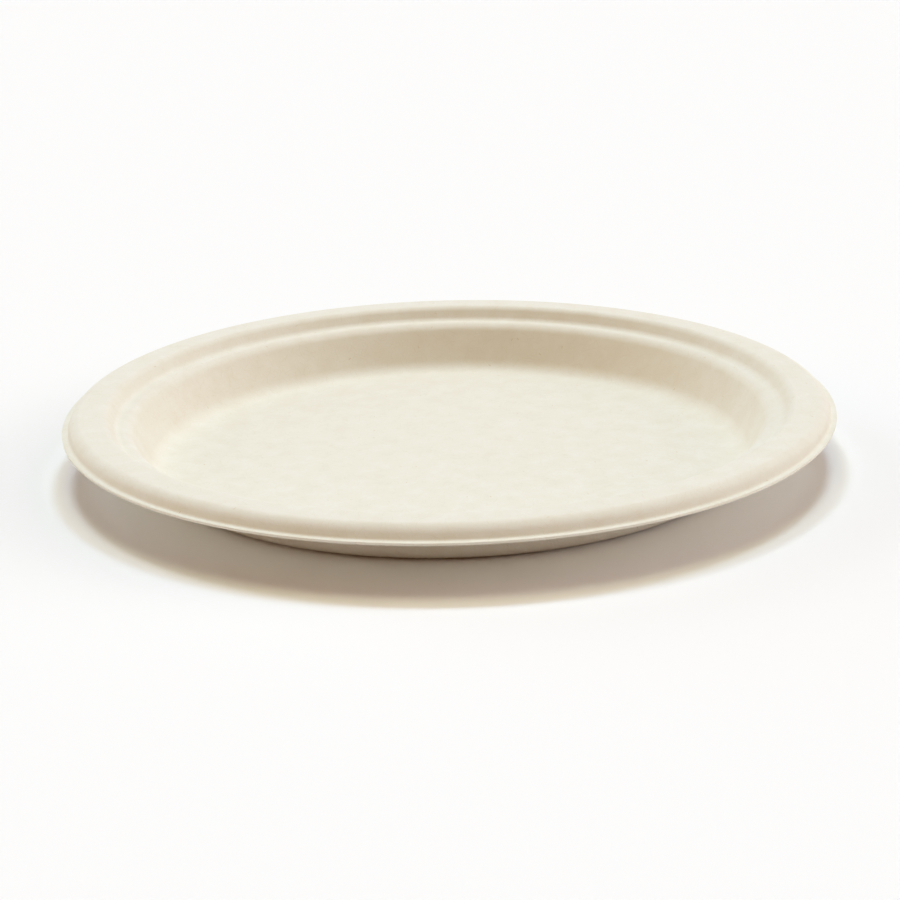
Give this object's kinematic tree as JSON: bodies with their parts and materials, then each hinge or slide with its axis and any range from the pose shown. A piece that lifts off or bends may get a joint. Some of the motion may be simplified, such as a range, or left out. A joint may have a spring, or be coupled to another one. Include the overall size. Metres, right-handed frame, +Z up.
{
  "type": "moulded fibre plate",
  "caption": "Round disposable plate of pressed plant fibre, with a flat floor, a steep side, a narrow ledge and a rounded rim with a flat trimmed edge.",
  "frame": {"origin": "centre of the base, on the surface that the plate stands on", "axes": "+Z up along the plate's axis of symmetry, out of its open top"},
  "size_m": [0.26, 0.26, 0.0217],
  "materials": {
    "pressed_fibre": "matt unbleached fibre"
  },
  "bodies": {
    "root": {"plate": "pressed_fibre"}
  },
  "joints": []
}
